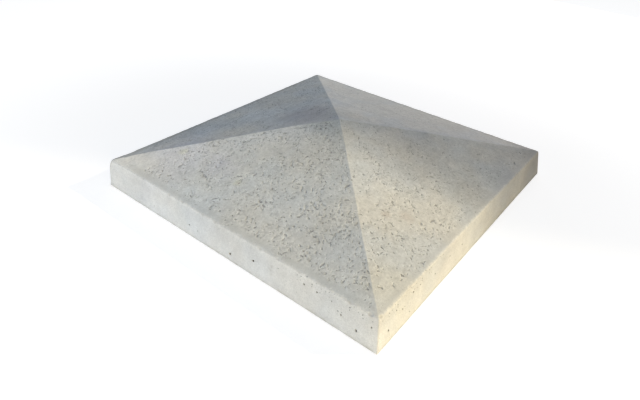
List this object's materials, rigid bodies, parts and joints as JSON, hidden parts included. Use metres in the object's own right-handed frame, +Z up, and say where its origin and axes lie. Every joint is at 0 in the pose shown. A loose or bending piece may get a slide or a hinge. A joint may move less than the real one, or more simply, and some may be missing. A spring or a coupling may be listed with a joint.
{
  "type": "pier cap",
  "caption": "Square cast concrete pier cap: equal slopes shed water from a low central peak, drafted sides drop from a soft arris, and a drip groove runs round the flat bed.",
  "frame": {"origin": "middle of the flat bed, on the surface that the cap rests on", "axes": "+Z up through the peak; X and Y square to the sides"},
  "size_m": [0.45, 0.45, 0.098],
  "materials": {
    "concrete": "pale cast concrete, matt, with small air pits on the slopes and smoother sides"
  },
  "bodies": {
    "root": {"pier_cap": "concrete"}
  },
  "joints": []
}
